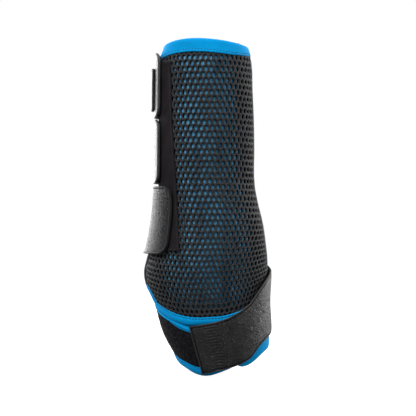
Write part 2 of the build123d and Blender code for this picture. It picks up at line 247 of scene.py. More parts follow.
def swell(u, z):
    """How far the closed sleeve bulges, in millimetres: drawn in by the top tape and between the
    tabs, and creased at the front above the fetlock."""
    back = np.exp(-((np.minimum(u % 1, 1 - u % 1)) / 0.16) ** 2)
    drawn = 2.6 * np.clip((z - 306) / 14, 0, 1) ** 2 - 0.7 * np.exp(-((z - 300) / 13) ** 2)
    pinch = sum(np.exp(-((z - h) / 7.0) ** 2) for h in (252.0, 186.5))
    crease = np.exp(-((z - 186 + 60 * (u - 0.42)) / 7) ** 2) * np.exp(-((u - 0.43) / 0.05) ** 2)
    slow = 0.35 * np.sin(z / 23.0 + 9 * u) * np.sin(7 * u + z / 61.0)
    return slow - 0.7 * pinch * back - 0.9 * crease - drawn


def on_swell(depth, share=1.0):
    """A depth function that follows the sleeve's swell, or a share of it."""
    return lambda u, z, from_edge: depth + share * swell(u, z)


def slit_distance(u, z):
    """Arc length from the slit's edge, in millimetres."""
    u = u % 1
    return np.minimum(u, 1 - u) * SLEEVE.girth(z) - SLIT_GAP


def corner_drop(radius, left):
    """How far a rounded corner falls back, at a distance left from the end."""
    short = np.clip(radius - left, 0, radius)
    return radius - np.sqrt(radius ** 2 - short ** 2)


def tabulated(edge):
    """The same edge, looked up in a table of heights for u from 0 to 2."""
    marks = np.linspace(0, 2, 4001)
    heights = []

    def lookup(u):
        if not heights:
            heights.append(edge(marks))
        return np.interp(u, marks, heights[0])
    return lookup


@tabulated
def panel_top(u):
    """The sleeve's top edge, rounded off beside the slit."""
    z = SLEEVE.height(u, lambda x, y: top_curve(x))
    return z - corner_drop(SLIT_CORNER, slit_distance(u, z))


@tabulated
def panel_hem(u):
    return SLEEVE.height(u, lambda x, y: hem_curve(x))


def cup_top(u, front):
    """The cup's top edge: under the strap the rear part's outer end is cut lower."""
    along_hem = CUP.height(u, lambda x, y: hem_curve(x) - CUP_GAP)
    if front:
        return along_hem
    return np.where(np.floor(u) >= 1, CUP.height(u, lambda x, y: cup_top_curve(x)), along_hem)


def cup_bottom(u, front):
    def outline(x, y):
        rear_edge = (y < 0) if not front else np.zeros(np.shape(y), bool)
        return np.where(rear_edge | (x < 8), cup_bottom_curve(x), cup_front_curve(x))
    return CUP.height(u, outline)


def strap_edge(u, which):
    """The strap's lower (0) or upper (1) edge."""
    front, outer, inner = (smooth(pair[which]) for pair in (STRAP_FRONT, STRAP_OUTER, STRAP_INNER))

    def outline(x, y):
        side = np.where(y < 0, outer(x), inner(x))
        near = np.clip((x - STRAP_FRONT_X + 4) / 8, 0, 1)
        return side + (front(y) - side) * near
    return STRAP.height(u, outline)


# ---------------------------------------------------------------- mesh makers

def mesh_object(name, points, faces, material):
    mesh = bpy.data.meshes.new(name)
    faces = faces.tolist() if isinstance(faces, np.ndarray) else faces
    mesh.from_pydata(np.asarray(points).tolist(), [], faces)
    mesh.materials.append(material)
    bm = bmesh.new()
    bm.from_mesh(mesh)
    bmesh.ops.recalc_face_normals(bm, faces=bm.faces)
    bm.to_mesh(mesh)
    bm.free()
    mesh.polygons.foreach_set("use_smooth", [True] * len(mesh.polygons))
    obj = bpy.data.objects.new(name, mesh)
    bpy.context.scene.collection.objects.link(obj)
    return obj


def stations(length, pitch, edge=(0.0, 0.25, 0.6, 1.1, 1.9)):
    """Shares of a length, close together near both ends."""
    count = max(2, int(round((length - 2 * edge[-1]) / pitch)) + 1)
    middle = np.linspace(edge[-1], length - edge[-1], count)
    marks = np.concatenate([edge[:-1], middle, length - np.array(edge[:-1])[::-1]])
    return marks / length


def grid_faces(n, m, start=0, flip=False):
    i, j = np.meshgrid(np.arange(n - 1), np.arange(m - 1), indexing="ij")
    a = (start + i * m + j).ravel()
    quads = np.stack([a, a + m, a + m + 1, a + 1], axis=1)
    return quads[:, ::-1] if flip else quads


def edge_distance(points, open_start):
    """For a grid of points, the distance to the nearest side, in millimetres. An open start, where a
    piece goes on into the next one, doesn't count as a side."""
    across = np.linalg.norm(np.diff(points, axis=0), axis=-1) / MM
    up = np.linalg.norm(np.diff(points, axis=1), axis=-1) / MM
    p = np.concatenate([np.zeros((1, points.shape[1])), np.cumsum(across, axis=0)])
    q = np.concatenate([np.zeros((points.shape[0], 1)), np.cumsum(up, axis=1)], axis=1)
    sides = [p[-1:] - p, q, q[:, -1:] - q] + ([] if open_start else [p])
    return np.min(sides, axis=0)


FROM_EDGE = {}  # for each slab, how far its points lie from its edge


def slab(name, form, place, p, q, outer, inner, material, edge=0.6, keep=0.2, open_start=False):
    """A closed sheet on a form, with edges rounded over the distance edge down to a share keep.

    place(P, Q) gives u and z; outer and inner are depths, as numbers or functions of u, z and the
    distance to the edge."""
    P, Q = np.meshgrid(p, q, indexing="ij")
    u, z = place(P, Q)
    from_edge = edge_distance(form.at(u, z, 0.0), open_start)
    depth = [t(u, z, from_edge) if callable(t) else np.full(u.shape, float(t)) for t in (outer, inner)]
    middle = (depth[0] + depth[1]) / 2
    round_off = np.sqrt(1 - (1 - np.clip(from_edge / edge, 0, 1)) ** 2)
    fullness = keep + (1 - keep) * round_off
    sheets = [form.at(u, z, middle + (t - middle) * fullness) for t in depth]
    n, m = u.shape
    points = np.concatenate([s.reshape(-1, 3) for s in sheets])
    faces = [grid_faces(n, m), grid_faces(n, m, n * m, flip=True)]
    loop = np.concatenate([np.arange(n) * m, (n - 1) * m + np.arange(1, m),
                           (np.arange(n - 1)[::-1]) * m + m - 1, np.arange(1, m - 1)[::-1]])
    after = np.roll(loop, -1)
    faces.append(np.stack([loop, after, after + n * m, loop + n * m], axis=1)[:, ::-1])
    obj = mesh_object(name, points, np.concatenate(faces), material)
    FROM_EDGE[obj.name] = from_edge
    return obj


def path_length(form, u, z):
    """How far each point of a path lies from its start, in millimetres."""
    steps = np.linalg.norm(np.diff(form.at(u, z, 0.0), axis=0), axis=1)
    return np.concatenate([[0], np.cumsum(steps)]) / MM


def resample(u, z, form, pitch):
    """The same path with points an even distance apart, and how far along they lie."""
    s = path_length(form, u, z)
    marks = np.linspace(0, s[-1], max(3, int(s[-1] / pitch)))
    return np.interp(marks, s, u), np.interp(marks, s, z), marks


def soften(values, rounds):
    """Rounds a path's corners off, and keeps its ends."""
    values = values.copy()
    for _ in range(rounds):
        values[1:-1] = (values[:-2] + 2 * values[1:-1] + values[2:]) / 4
    return values


def rim_path(form, start, end, low, high, rounds=10):
    """A path along the top from start to end, down the end and back along the bottom, and a key for
    each point's tape: 0 on the top, 1 on the end, 2 on the bottom."""
    us = np.linspace(start, end, 240)
    fine = np.linspace(0, 1, 60) ** 2
    us = np.concatenate([us[:-1], us[-2] + (end - us[-2]) * (1 - fine[::-1])])
    tops, lows = high(us), low(us)
    drop = np.linspace(tops[-1], lows[-1], 120)[1:-1]
    u = np.concatenate([us, np.full(len(drop), end), us[::-1]])
    z = np.concatenate([tops, drop, lows[::-1]])
    key = np.concatenate([np.zeros(len(us)), np.ones(len(drop)), np.full(len(us), 2.0)])
    even_u, even_z, marks = resample(u, z, form, 1.6)
    key = np.interp(marks, path_length(form, u, z), key)
    return soften(even_u, rounds), soften(even_z, rounds), soften(key, 4 * rounds)


def beside(form, u, z, side, inset):
    """The path moved away from its edge by inset millimetres: one number, or rows of one per point."""
    girth = form.girth(z)
    ds, dz = np.gradient(u) * girth, np.gradient(z)
    length = np.hypot(ds, dz)
    return u + inset * (side * dz / length / girth), z + inset * (-side * ds / length)


def sweep(name, form, path, side, profile, material, width=0.0, lift=None):
    """A profile carried along a path on a form. Its points are (share of the width, inset, depth)."""
    shares, insets, depths = np.array(profile, float).T
    inset = np.multiply.outer(shares, np.broadcast_to(width, path[0].shape)) + insets[:, None]
    uu, zz = (moved.T for moved in beside(form, *path, side, inset))
    depth = np.broadcast_to(depths, uu.shape)
    if lift is not None:
        depth = depth + lift(uu, zz)
    points = form.at(uu, zz, depth).reshape(-1, 3)
    n, m = uu.shape
    faces = [(i * m + j, i * m + (j + 1) % m, (i + 1) * m + (j + 1) % m, (i + 1) * m + j)
             for i in range(n - 1) for j in range(m)]
    faces += [tuple(range(m))[::-1], tuple((n - 1) * m + np.arange(m))]  # both ends
    return mesh_object(name, points, faces, material)


def bead(name, centres, along, out, material, length=2.1, radius=0.34):
    """Many stitches: small rounded beads, each lying along its own direction."""
    rings, sides = (-0.5, -0.36, 0.0, 0.36, 0.5), 6
    girths = (0.25, 0.85, 1.0, 0.85, 0.25)
    side = np.cross(along, out)
    turn = np.arange(sides) * 2 * math.pi / sides
    points, faces = [], []
    for r, (place, girth) in enumerate(zip(rings, girths)):
        middle = centres + along * place * length * MM - out * abs(place) * 0.5 * MM
        for a in turn:
            points.append(middle + (side * math.cos(a) + out * math.sin(a) * 0.8) * radius * girth * MM)
    points = np.stack(points, axis=1)  # stitch, vertex, xyz
    count = points.shape[1]
    one = [(r * sides + k, r * sides + (k + 1) % sides,
            (r + 1) * sides + (k + 1) % sides, (r + 1) * sides + k)
           for r in range(len(rings) - 1) for k in range(sides)]
    for s in range(len(points)):
        faces += [tuple(s * count + i for i in f) for f in one]
        faces += [tuple(s * count + i for i in range(sides))[::-1],
                  tuple(s * count + count - sides + i for i in range(sides))]
    return mesh_object(name, points.reshape(-1, 3), faces, material)


def stitch_row(name, form, rows, depth, material, pitch=STITCH, lift=None, length=2.1, radius=0.34):
    """Stitches along one or more (u, z) rows on a form."""
    centres, along, out = [], [], []
    for u, z in rows:
        u, z, _ = resample(np.asarray(u, float), np.asarray(z, float), form, pitch)
        t = depth + (lift(u, z) if lift else 0.0)
        p = form.at(u, z, t)
        d = np.gradient(p, axis=0)
        n = form.at(u, z, t + 1.0) - p
        centres.append(p[1:-1])
        along.append((d / np.linalg.norm(d, axis=1, keepdims=True))[1:-1])
        out.append((n / np.linalg.norm(n, axis=1, keepdims=True))[1:-1])
    return bead(name, np.concatenate(centres), np.concatenate(along), np.concatenate(out), material,
                length, radius)


# ---------------------------------------------------------------- materials

def settings(shader, *first, **values):
    """Feeds a shader node's first inputs in order, and its settings and other inputs by name. An input
    takes a value or another node's socket."""
    for key, value in [*enumerate(first), *values.items()]:
        if isinstance(key, str) and hasattr(shader, key):
            setattr(shader, key, value)
            continue
        target = shader.inputs[key.replace("_", " ") if isinstance(key, str) else key]
        if isinstance(value, bpy.types.NodeSocket):
            shader.id_data.links.new(value, target)
        else:
            target.default_value = value
    return shader


def node(tree, kind, *first, **values):
    return settings(tree.nodes.new(kind), *first, **values)


def mixed(tree, amount, dark, light):
    """A colour between a dark one and a light one, which are sockets or values."""
    mix = node(tree, "ShaderNodeMix", amount, data_type="RGBA")
    for slot, colour in ((6, dark), (7, light)):  # the inputs for colours
        if isinstance(colour, bpy.types.NodeSocket):
            tree.links.new(colour, mix.inputs[slot])
        else:
            mix.inputs[slot].default_value = (*colour, 1)
    return mix.outputs[2]


def cloth(name, dark, light, rough, grain, relief, spec=0.3, sheen=0.0, coat=0.0, kind="noise", patch=60.0,
          stretch=(1, 1, 1), relief_2=None):
    """A material whose colour varies between two and whose relief is a fine noise or cells.

    grain is its features per metre, and relief their height in metres; patch is the colour's own
    features per metre, and relief_2 a broader relief, as (features per metre, height)."""
    material = bpy.data.materials.new(name)
    material.use_nodes = True
    tree = material.node_tree
    place = node(tree, "ShaderNodeTexCoord").outputs["Object"]
    shape = node(tree, "ShaderNodeMapping", Vector=place, Scale=stretch).outputs["Vector"]
    if kind == "cells":
        fine = node(tree, "ShaderNodeTexVoronoi", feature="DISTANCE_TO_EDGE", Vector=shape, Scale=grain)
        level = node(tree, "ShaderNodeMapRange", fine.outputs["Distance"], From_Min=0.0, From_Max=0.16)
        level = level.outputs["Result"]
    else:
        fine = node(tree, "ShaderNodeTexNoise", Vector=shape, Scale=grain, Detail=4.0, Roughness=0.65)
        level = fine.outputs["Fac"]
    broad = node(tree, "ShaderNodeTexNoise", Vector=place, Scale=patch, Detail=3.0)
    both = node(tree, "ShaderNodeMath", level, broad.outputs["Fac"], operation="MULTIPLY")
    ramp = node(tree, "ShaderNodeMapRange", both.outputs["Value"], From_Min=0.1, From_Max=0.5)
    bump = node(tree, "ShaderNodeBump", Strength=0.8, Distance=relief, Height=level)
    if relief_2:
        more = node(tree, "ShaderNodeTexNoise", Vector=place, Scale=relief_2[0], Detail=2.0)
        bump = node(tree, "ShaderNodeBump", Strength=0.6, Distance=relief_2[1],
                    Height=more.outputs["Fac"], Normal=bump.outputs["Normal"])
    settings(
        tree.nodes["Principled BSDF"], Base_Color=mixed(tree, ramp.outputs["Result"], dark, light),
        Roughness=rough, Specular_IOR_Level=spec, Sheen_Weight=sheen, Sheen_Roughness=0.4,
        Coat_Weight=coat, Coat_Roughness=0.25, Normal=bump.outputs["Normal"],
    )
    return material


BLUE_TAPE = cloth("blue_tape", (0.0, 0.19, 0.44), (0.0, 0.29, 0.62), 0.7, 700, 0.0002, spec=0.04,
                  sheen=0.01, patch=45, stretch=(1, 1, 2.5))
NET = cloth("net_yarn", (0.004, 0.0042, 0.005), (0.032, 0.033, 0.037), 0.7, 800, 0.0008, spec=0.25,
            sheen=0.05, patch=260, stretch=(1, 1, 0.6))
# A darker copy of the net yarn for the walls inside the holes: painted shade.
NET_WALL_SHADE = cloth("net_yarn_wall_shade", (0.001, 0.0012, 0.0015), (0.004, 0.0045, 0.006), 0.9, 800, 0.0003,
                 spec=0.02)
FOAM = cloth("blue_foam", (0.04, 0.17, 0.31), (0.13, 0.40, 0.64), 0.9, 420, 0.0006, spec=0.08, patch=160)
LINING = cloth("lining_cloth", (0.045, 0.07, 0.105), (0.085, 0.12, 0.16), 0.9, 900, 0.0003, spec=0.1,
               sheen=0.3)
LOOP = cloth("loop_tape", (0.008, 0.007, 0.008), (0.020, 0.0175, 0.0195), 0.85, 900, 0.0004, spec=0.03,
             sheen=0.02)
HOOK = cloth("hook_tape", (0.006, 0.006, 0.007), (0.03, 0.03, 0.033), 0.6, 900, 0.0006, spec=0.3,
             kind="cells")
LEATHER = cloth("leatherette", (0.003, 0.0027, 0.0028), (0.010, 0.0092, 0.0098), 0.34, 560, 0.0004,
                spec=0.3, kind="cells", relief_2=(240, 0.0012))
# A lighter copy of the leatherette for the band along the strap's edge: painted highlight.
LEATHER_RIM_HIGHLIGHT = cloth("leatherette_rim_highlight", (0.012, 0.011, 0.011), (0.030, 0.028, 0.028), 0.45, 700, 0.0002,
                    spec=0.25)
TAB_LEATHER = cloth("tab_leatherette", (0.006, 0.006, 0.007), (0.022, 0.021, 0.023), 0.32, 620, 0.0003,
                    spec=0.5, coat=0.1, kind="cells")
# For the lower tab, darker and duller copies of the same leatherette and piping as the upper tabs: painted
# shade.
LOWER_TAB_SHADED_LEATHER = cloth("tab_leatherette_painted_shade", (0.005, 0.005, 0.006), (0.020, 0.019, 0.021), 0.34, 480,
                          0.0008, spec=0.13, kind="cells")
PIPING = cloth("piping", (0.008, 0.008, 0.008), (0.018, 0.018, 0.019), 0.42, 900, 0.00015, spec=0.45,
               coat=0.1, kind="cells")
LOWER_SHADED_PIPING = cloth("piping_painted_shade", (0.006, 0.006, 0.006), (0.014, 0.014, 0.015), 0.45, 900, 0.00015,
                     spec=0.1, kind="cells")
CUT_EDGE = cloth("cut_edge", (0.045, 0.03, 0.022), (0.09, 0.065, 0.05), 0.85, 900, 0.0002, spec=0.2)
CUP_CLOTH = cloth("cup_cloth", (0.0008, 0.0008, 0.001), (0.026, 0.026, 0.030), 0.95, 480, 0.0015,
                  spec=0.03, sheen=0.02, patch=420)
PADDING = cloth("padding", (0.02, 0.02, 0.022), (0.04, 0.04, 0.045), 0.95, 700, 0.0004, spec=0.1)
RUBBER = cloth("badge_rubber", (0.010, 0.010, 0.011), (0.018, 0.018, 0.02), 0.55, 900, 0.0001, spec=0.3)
BLACK_TAPE = cloth("black_tape", (0.008, 0.008, 0.009), (0.018, 0.018, 0.02), 0.7, 800, 0.0002, spec=0.15,
                   sheen=0.05, stretch=(1, 1, 2.5))
# A near-black strip laid in the strap's stitching grooves: painted shadow.
SEAM_SHADOW = cloth("seam_shadow", (0.001, 0.001, 0.001), (0.003, 0.003, 0.003), 0.9, 900, 0.0001, spec=0.02)
BLACK_THREAD = cloth("black_thread", (0.012, 0.012, 0.013), (0.04, 0.04, 0.043), 0.6, 1500, 0.0001,
                     spec=0.3)
BLUE_THREAD = cloth("blue_thread", (0.0, 0.02, 0.08), (0.0, 0.05, 0.16), 0.6, 1500, 0.0001, spec=0.2)


def shade_foam(material):
    """Sinks the foam's blue into shade where the net lifts away from it, towards the front, the back
    and the hem, and half into shade in loose upright streaks."""
    tree = material.node_tree
    shader = tree.nodes["Principled BSDF"]
    place = node(tree, "ShaderNodeTexCoord").outputs["Object"]
    parts = node(tree, "ShaderNodeSeparateXYZ", place).outputs

    def ramp(value, low, high, least=0.0):
        made = node(tree, "ShaderNodeMapRange", value, interpolation_type="SMOOTHSTEP", From_Min=low,
                    From_Max=high, To_Min=least)
        return made.outputs["Result"]

    def maths(operation, a, b):
        return node(tree, "ShaderNodeMath", a, b, operation=operation).outputs["Value"]

    leaning = maths("ADD", parts["X"], maths("MULTIPLY", parts["Z"], 0.1))
    front = ramp(leaning, 0.064, 0.050)
    low = ramp(parts["Z"], 0.062, 0.080)
    rear = ramp(parts["X"], -0.050, -0.036)
    shape = node(tree, "ShaderNodeMapping", Vector=place, Scale=(1, 1, 0.2))
    streaks = node(tree, "ShaderNodeTexNoise", Vector=shape.outputs["Vector"], Scale=75.0, Detail=2.0)
    streak = ramp(streaks.outputs["Fac"], 0.32, 0.52, 0.4)
    amount = maths("MULTIPLY", maths("MULTIPLY", front, low), maths("MULTIPLY", rear, streak))
    colour = shader.inputs["Base Color"].links[0].from_socket
    settings(shader, Base_Color=mixed(tree, amount, (0.008, 0.014, 0.022), colour))


shade_foam(FOAM)


# ---------------------------------------------------------------- placing pieces

def put(obj, slot, nodes=(), body=None, fold=None):
    """Hides the CAD nodes that a piece stands for and attaches it to the body that it moves with; a piece
    given a fold only has its transform baked into its mesh. The slot is not used.
    """
    if fold:
        parent, child, (start, end) = fold
        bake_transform(obj)
        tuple(start)
        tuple(end)
    else:
        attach(obj, body)
    if nodes:
        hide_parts(*nodes)


FLAP = ("shell", "inner_flap", FLAP_FOLD)
U_SLIT = SLIT_GAP / SLEEVE.girth(200.0)
U_SPLIT = float(SLEEVE.share_at_x(SPLIT_X, 200.0, inner=True))
U_CUP_SPLIT = float(CUP.share_at_x(SPLIT_X, 40.0, inner=True))

# Each half of the sleeve runs from the split on the inner side to the slit
HALVES = (
    ("front_panel", U_SPLIT, U_SLIT, -1, {"body": "shell"}),
    ("inner_flap", U_SPLIT, 1 - U_SLIT, 1, {"fold": FLAP}),
)
TAPE_PROFILE = [
    (1, 0, 0.05), (1, 0.1, 0.55), (0.88, 0, 0.95), (0.8, 0, 0.66), (0.7, 0, 1.08), (0.5, 0, 1.45),
    (0, 2.2, 1.3), (0, 0.5, 0.95), (0, -0.5, 0.1), (0, -1.1, -1.4), (0, -1.3, -3.8), (0, -1.1, -6.2),
    (0, -0.4, -7.8), (0, 0.7, -8.6), (0, 2.4, -8.9), (1, -1.0, -8.8), (1, 0, -8.5), (1, 0, -7.7),
    (0, 1.4, -7.7), (0, 1.4, 0.05),
]


def span(start, end, low, high):
    """A place function: P runs the way round from start to end, and Q up from low to high."""
    def place(P, Q):
        u = start + (end - start) * P
        lo, hi = low(u), high(u)
        return u, lo + (hi - lo) * Q
    return place


def upright(low, high, near, far):
    """A place function for an upright strip, whose edges near and far depend on the height."""
    def place(P, Q):
        z = low + (high - low) * Q
        return near(z) + (far(z) - near(z)) * P, z
    return place


def shifted(edge, by):
    return lambda u: edge(u) + by


def make_sleeve_half(name, start, end, side, moves):
    """Lining, foam and taped edge of one half of the sleeve."""
    across, up = stations(abs(end - start) * PANEL_GIRTH, 3.2), stations(PANEL_HEIGHT, 3.2)
    place = span(start, end - math.copysign(0.005, end - start),
                 shifted(panel_hem, UNDER_TAPE), shifted(panel_top, -UNDER_TAPE))
    foam = slab(f"{name}_foam_core", SLEEVE, place, across, up,
                on_swell(FOAM_DEPTH[0]), on_swell(FOAM_DEPTH[1]), FOAM, open_start=True)
    put(foam, "foam", [f"{name}_foam"], **moves)

    lining = slab(f"{name}_inner_lining", SLEEVE, place, across, up,
                  on_swell(LINING_DEPTH[0], 0.5), on_swell(LINING_DEPTH[1]), LINING, open_start=True)
    put(lining, "lining", [f"{name}_lining"], **moves)
    width = abs(end - start) * (float(SLEEVE.girth(150.0)) - 2 * math.pi * 7.0) * MM  # 7 mm inside the form

    u, z, key = rim_path(SLEEVE, start, end, panel_hem, panel_top)
    widths = np.interp(key, [0, 1, 2], [TOP_TAPE, SLIT_TAPE, HEM_TAPE])
    narrowing = np.interp(u, [0.36, 0.47, 0.53, 0.64], [0, 4.0, 4.0, 0])  # of the top tape, round the front
    widths = widths - narrowing * np.clip(1 - key, 0, 1)
    tape = sweep(f"{name}_edge_tape", SLEEVE, (u, z), side, TAPE_PROFILE, BLUE_TAPE, width=widths,
                 lift=swell)
    tape.data.materials.append(BLACK_TAPE)
    black = (np.abs(key - 1) < 0.35) & (z < BLACK_TAPE_TOP)
    kinds = np.repeat(black[:-1], len(TAPE_PROFILE))
    tape.data.polygons.foreach_set("material_index", np.append(kinds, [0, 0]).astype(np.int32))
    put(tape, "binding", [f"{name}_binding"], **moves)

    row_u, row_z = beside(SLEEVE, u, z, side, STITCH_INSET * widths)
    first, last = np.flatnonzero(black)[[0, -1]]
    for part, chosen, thread in (
        ("top", slice(0, first), BLUE_THREAD),
        ("slit", slice(first, last), BLACK_THREAD),
        ("hem", slice(last, None), BLUE_THREAD),
    ):
        stitches = stitch_row(f"{name}_{part}_stitches", SLEEVE, [(row_u[chosen], row_z[chosen])], 0.9,
                              thread, lift=swell, radius=0.42)
        put(stitches, "binding", **moves)


def make_net(name, start, end, moves):
    """The honeycomb net over one half of the sleeve, each hole a rounded hexagon in puffed yarn."""
    corners = [(0.5, -1 / 3), (0.5, 1 / 3), (0, 2 / 3), (-0.5, 1 / 3), (-0.5, -1 / 3), (0, -2 / 3)]
    border = []
    for (x0, y0), (x1, y1) in zip(corners, corners[1:] + corners[:1]):
        border += [(x0, y0), ((x0 + x1) / 2, (y0 + y1) / 2)]
    border = np.array(border)
    turn = np.arctan2(border[:, 1] / 0.62, border[:, 0] / 0.5)
    hole = np.stack([0.315 * np.cos(turn), 0.42 * np.sin(turn)], axis=1)
    rings = np.stack([hole * 0.93, hole * 0.96, hole * 1.05, hole * 0.55 + border * 0.45, border])
    depths = np.array([-2.35, -1.4, -0.75, -0.12, 0.15])
    open_rings, shaded_rings = 3, 2  # those that shrink with the hole, and those whose faces take the darker yarn as painted shade inside the hole

    rows, slots = np.meshgrid(np.arange(*NET_ROWS), np.arange(*NET_COLUMNS), indexing="ij")
    rows, slots = rows.ravel(), slots.ravel()
    across = slots + 0.5 * (rows % 2)
    centre_u, centre_z = net_place(across, rows)
    half = 0.5 * NET_PITCH / SLEEVE.girth(centre_z)
    before, after = (half, 0) if end < start else (0, half)  # the holes that the slit cuts are kept
    within = (centre_u > min(start, end) - before) & (centre_u <= max(start, end) + after)
    within &= (centre_z > panel_hem(centre_u) + 1.8) & (centre_z < panel_top(centre_u) - 2.5)
    rows, across, centre_u, centre_z = rows[within], across[within], centre_u[within], centre_z[within]

    count, cells = len(border), len(rows)
    openness = net_openness(centre_u, centre_z) * RNG.uniform(0.92, 1.06, cells)
    is_open = (np.arange(len(rings)) < open_rings)[None, :, None, None]
    shapes = np.where(is_open, rings[None] * openness[:, None, None, None], rings[None])
    shapes = shapes + RNG.uniform(-0.035, 0.035, (cells, 1, 1, 2)) * is_open
    u, z = net_place(across[:, None, None] + shapes[..., 0], rows[:, None, None] + shapes[..., 1])
    depth = np.broadcast_to(depths[None, :, None], u.shape).ravel()
    u, z = u.ravel(), z.ravel()
    limit = end - math.copysign(0.004, end - start)
    u = np.minimum(u, limit) if end > start else np.maximum(u, limit)
    places = SLEEVE.at(u, z, depth + swell(u, z))

    k = np.arange(count)
    cell_start = (np.arange(cells) * len(rings) * count)[:, None, None]
    near = cell_start + (np.arange(len(rings) - 1) * count)[:, None] + k
    far = near - k + (k + 1) % count
    faces = np.stack([near, far, far + count, near + count], axis=-1).reshape(-1, 4)
    keys = np.round(places / 2e-6).astype(np.int64)  # neighbouring holes share their border points
    _, first_use, merged = np.unique(keys, axis=0, return_index=True, return_inverse=True)
    kept = [tuple(dict.fromkeys(f)) for f in merged.ravel()[faces].tolist()]
    net = mesh_object(f"{name}_honeycomb_net", places[first_use], [f for f in kept if len(f) > 2], NET)
    # The faces on the hole walls take the darker yarn: painted shade.
    net.data.materials.append(NET_WALL_SHADE)
    ring_of_face = np.tile(np.repeat(np.arange(len(rings) - 1), count), cells)
    shaded_faces = [int(r < shaded_rings) for r, f in zip(ring_of_face, kept) if len(f) > 2]
    net.data.polygons.foreach_set("material_index", np.array(shaded_faces, dtype=np.int32))
    put(net, "mesh", [f"{name}_mesh"], **moves)
    girth = float(SLEEVE.girth(225.0))


def net_place(across, row):
    """Where a point of the net's own grid lies, as (u, z). The columns run down the boot at an even
    pitch, and the rows draw closer and follow the hem towards the bottom."""
    below = np.maximum(NET_BEND / NET_ROW - row, 0)
    level = row * NET_ROW + 0.026 * below ** 2
    share = np.clip((NET_BEND - level) / 95, 0, 1.1) ** 1.3
    pitch = NET_PITCH - 0.5 * np.clip((NET_BEND - level) / 40, 0, 1)
    z = level
    for _ in range(5):
        u = NET_CENTRE + across * pitch / SLEEVE.girth(z)
        z = level + share * 0.85 * (panel_hem(u % 1) - 52.0)
    return u, z


def net_openness(u, z):
    """The net's holes are widest on the outer side and draw in towards the front, the back and the hem."""
    slack = 0.9 + 0.1 * np.sin(31 * u + z / 17.0) * np.cos(z / 29.0 - 11 * u)
    front = 0.28 * np.clip((np.abs(u - 0.25) - 0.09) / 0.1, 0, 1)
    low = 0.2 * np.clip((80 - z) / 18, 0, 1)
    return slack + 0.08 - front - low


for half, u_start, u_end, turn_side, rides in HALVES:
    make_sleeve_half(half, u_start, u_end, turn_side, rides)
    make_net(half, u_start, u_end, rides)


def make_loop_strip():
    """The ribbed loop strip beside the slit, with a gather between the upper two tabs."""
    low, high = LOOP_STRIP_ENDS
    place = upright(low, high, lambda z: (SLIT_GAP + UNDER_TAPE) / SLEEVE.girth(z),
                    lambda z: SLEEVE.share_at_x(strip_curve(z), z))

    def relief(u, z, d):
        ribs = 0.12 * np.sin(u * SLEEVE.girth(200.0) * 2 * math.pi / 1.9)
        across_gather = np.exp(-((z - 258 - 300 * (u - 0.07)) / 2.4) ** 2)
        gather = 0.9 * across_gather * np.exp(-((u - 0.075) / 0.03) ** 2)
        return 1.7 + swell(u, z) + ribs + gather

    strip = slab("loop_strip_ribbed", SLEEVE, place, stations(30, 0.5), stations(185, 2.0), relief,
                 on_swell(0.25), LOOP, edge=0.8)
    put(strip, "loop_tape", ["loop_strip"], body="shell")
    z = np.linspace(low + 1.5, high - 1.5, 120)
    u = SLEEVE.share_at_x(strip_curve(z), z) - 1.2 / SLEEVE.girth(z)
    rows = [(u, z)]
    for end_u, end_z in ((u[0], low + 1.3), (u[-1], high - 1.4)):
        rows.append((np.linspace(0.03, end_u, 20), np.full(20, end_z)))
    row = stitch_row("loop_strip_stitches", SLEEVE, rows, 1.75, BLACK_THREAD, lift=swell, pitch=2.8,
                     length=1.9, radius=0.26)
    put(row, "loop_tape", body="shell")


make_loop_strip()


def make_anchor_strip():
    """The strip on the inner flap that the tabs are sewn to."""
    place = upright(*ANCHOR_STRIP_ENDS, lambda z: SLEEVE.share_at_x(-22.0, z, inner=True),
                    lambda z: SLEEVE.share_at_x(-34.0, z, inner=True))
    strip = slab("tab_anchor_strip_sewn", SLEEVE, place, stations(14, 1.5), stations(198, 3.0),
                 on_swell(1.5), on_swell(0.2), LEATHER)
    put(strip, "leatherette", ["tab_anchor_strip"], body="inner_flap")


make_anchor_strip()


